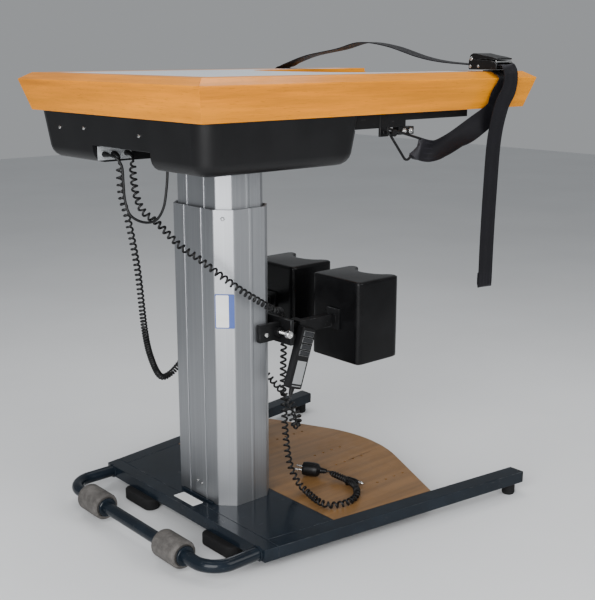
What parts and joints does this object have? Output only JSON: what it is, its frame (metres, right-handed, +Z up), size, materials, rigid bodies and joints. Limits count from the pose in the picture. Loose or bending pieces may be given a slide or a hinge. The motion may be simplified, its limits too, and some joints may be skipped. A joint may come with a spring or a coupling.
{
  "type": "standing table",
  "caption": "Free-standing therapy table on an electric lift column, with a body cut-out, knee supports, hip strap, foot board and wired hand control.",
  "frame": {"origin": "on the floor, under the middle of the table top's outline", "axes": "+X towards the person who stands at the table, +Y to the table's far long side in the picture, +Z up"},
  "size_m": [0.858, 0.7286, 0.959],
  "materials": {
    "base_steel": "dark grey powder coat",
    "black_steel": "black powder coat",
    "dark_steel": "plain steel",
    "bright_steel": "bright plated steel",
    "aluminium": "satin anodised extrusion",
    "beech": "lacquered warm-toned hardwood",
    "laminate": "pale grey laminate",
    "plywood": "lacquered plywood",
    "rubber": "black rubber",
    "roller": "worn grey rubber",
    "black_plastic": "black moulded plastic",
    "grey_plastic": "grey moulded plastic",
    "pad_skin": "black moulded foam skin",
    "webbing": "black woven webbing",
    "cord": "black cable sheath"
  },
  "bodies": {
    "base": {"base_plate": "base_steel", "base_rail_left": "base_steel", "base_rail_right": "base_steel", "front_crossbar": "base_steel", "middle_crossbar": "base_steel", "rear_crossbar": "base_steel", "rail_cap_left": "rubber", "rail_cap_right": "rubber", "front_foot_left": "rubber", "front_foot_right": "rubber", "rear_foot_left": "rubber", "rear_foot_right": "rubber", "transport_handle": "base_steel", "foot_board": "plywood", "column_flange": "base_steel", "column_outer": "aluminium", "glide_ring": "black_plastic", "drive_motor": "dark_steel", "handset_cord": "cord", "handset_cord_tail": "cord", "mains_cord": "cord", "mains_plug": "black_plastic"},
    "table": {"column_inner": "aluminium", "spindle_nut": "black_plastic", "table_frame": "black_steel", "table_panel": "laminate", "rim_front": "beech", "rim_left": "beech", "rim_right": "beech", "rim_end_left": "beech", "rim_end_right": "beech", "rim_cutout": "beech", "housing": "black_plastic", "socket_panel": "grey_plastic", "control_box": "grey_plastic", "column_boot": "black_plastic", "hip_strap_left": "webbing", "hip_strap_right": "webbing", "cam_buckle": "black_steel", "link_cable": "cord"},
    "spindle": {"lift_spindle": "dark_steel"},
    "roller_left": {"roller_left": "roller"},
    "roller_right": {"roller_right": "roller"},
    "knee_carriage": {"knee_plate": "black_steel", "knee_cheek_left": "black_steel", "knee_cheek_right": "black_steel", "handset_body": "black_plastic"},
    "knee_arm_left": {"knee_arm_left": "black_steel", "knee_pad_left": "pad_skin"},
    "knee_screw_left": {"knee_screw_left": "bright_steel"},
    "strap_ring_left": {"strap_ring_left": "black_steel"},
    "knee_arm_right": {"knee_arm_right": "black_steel", "knee_pad_right": "pad_skin"},
    "knee_screw_right": {"knee_screw_right": "bright_steel"},
    "strap_ring_right": {"strap_ring_right": "black_steel"},
    "buckle_lever": {"buckle_lever": "bright_steel"},
    "button_1": {"handset_button_1": "grey_plastic"},
    "button_2": {"handset_button_2": "grey_plastic"},
    "button_3": {"handset_button_3": "grey_plastic"},
    "button_4": {"handset_button_4": "grey_plastic"}
  },
  "joints": [
    {"name": "table_lift", "type": "slide", "parent": "base", "child": "table", "axis": [0, 0, 1], "range_m": [-0.05, 0.35], "deforming": ["handset_cord", "mains_cord"]},
    {"name": "spindle_turn", "type": "hinge", "parent": "base", "child": "spindle", "pos_m": [-0.166, 0, 0.3], "axis": [0, 0, 1], "range_deg": [-6400, 1000]},
    {"name": "roller_left_turn", "type": "hinge", "parent": "base", "child": "roller_left", "pos_m": [-0.392, 0.137, 0.0375], "axis": [0, 1, 0], "continuous": true},
    {"name": "roller_right_turn", "type": "hinge", "parent": "base", "child": "roller_right", "pos_m": [-0.392, -0.137, 0.0375], "axis": [0, 1, 0], "continuous": true},
    {"name": "knee_height", "type": "slide", "parent": "base", "child": "knee_carriage", "axis": [0, 0, 1], "range_m": [-0.12, 0], "deforming": ["handset_cord_tail", "mains_cord"]},
    {"name": "knee_arm_left_reach", "type": "slide", "parent": "knee_carriage", "child": "knee_arm_left", "axis": [1, 0, 0], "range_m": [0, 0.04]},
    {"name": "knee_screw_left_turn", "type": "hinge", "parent": "knee_carriage", "child": "knee_screw_left", "pos_m": [-0.1075, 0.1036, 0.4], "axis": [0, 1, 0], "range_deg": [0, 360]},
    {"name": "strap_ring_left_swing", "type": "hinge", "parent": "table", "child": "strap_ring_left", "pos_m": [0.02563, 0.278, 0.79262], "axis": [0, 1, 0], "range_deg": [-15, 15], "deforming": ["hip_strap_left"]},
    {"name": "knee_arm_right_reach", "type": "slide", "parent": "knee_carriage", "child": "knee_arm_right", "axis": [1, 0, 0], "range_m": [0, 0.04]},
    {"name": "knee_screw_right_turn", "type": "hinge", "parent": "knee_carriage", "child": "knee_screw_right", "pos_m": [-0.1075, -0.1036, 0.4], "axis": [0, -1, 0], "range_deg": [0, 360]},
    {"name": "strap_ring_right_swing", "type": "hinge", "parent": "table", "child": "strap_ring_right", "pos_m": [0.02563, -0.278, 0.79262], "axis": [0, 1, 0], "range_deg": [-15, 15], "deforming": ["hip_strap_right"]},
    {"name": "buckle_lever_lift", "type": "hinge", "parent": "table", "child": "buckle_lever", "pos_m": [0.318, -0.242, 0.9257], "axis": [-1, 0, 0], "range_deg": [0, 90]},
    {"name": "button_1_press", "type": "slide", "parent": "knee_carriage", "child": "button_1", "axis": [0, 1, 0], "range_m": [0, 0.001], "stiffness_N_per_m": 1500, "springref_m": -0.0005},
    {"name": "button_2_press", "type": "slide", "parent": "knee_carriage", "child": "button_2", "axis": [0, 1, 0], "range_m": [0, 0.001], "stiffness_N_per_m": 1500, "springref_m": -0.0005},
    {"name": "button_3_press", "type": "slide", "parent": "knee_carriage", "child": "button_3", "axis": [0, 1, 0], "range_m": [0, 0.001], "stiffness_N_per_m": 1500, "springref_m": -0.0005},
    {"name": "button_4_press", "type": "slide", "parent": "knee_carriage", "child": "button_4", "axis": [0, 1, 0], "range_m": [0, 0.001], "stiffness_N_per_m": 1500, "springref_m": -0.0005}
  ],
  "couplings": [
    {"joint": "spindle_turn", "follows": "table_lift", "rad_per_m": -314.16}
  ]
}
